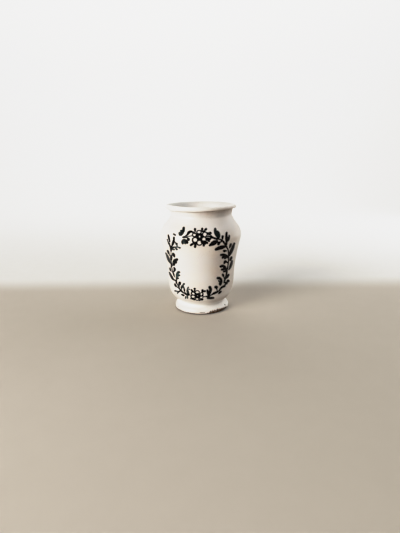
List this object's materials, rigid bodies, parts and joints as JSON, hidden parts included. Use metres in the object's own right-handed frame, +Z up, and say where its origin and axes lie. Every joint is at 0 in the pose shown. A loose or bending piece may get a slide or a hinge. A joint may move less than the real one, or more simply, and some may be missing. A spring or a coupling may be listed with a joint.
{
  "type": "glazed earthenware jar",
  "caption": "Small open pharmacy-style jar in white-glazed earthenware: rolled lip, short neck, round shoulder, tapering body and flared foot, with a black printed wreath.",
  "frame": {"origin": "on the jar's axis, in the plane that the foot's standing ring rests on", "axes": "+Z up along the axis of turning; -Y towards the printed front; +X to the right seen from the front"},
  "size_m": [0.0824, 0.0824, 0.11],
  "materials": {
    "biscuit": "matt fired earthenware",
    "foot_clay": "matt fired earthenware, bare on the standing ring",
    "slip": "matt fired slip",
    "glaze": "soft gloss white glaze, slightly warm",
    "ink": "black fired print under a thin gloss"
  },
  "bodies": {
    "root": {"jar_body": "biscuit", "foot": "foot_clay", "lute_ring": "slip", "glaze_coat": "glaze"}
  },
  "joints": []
}
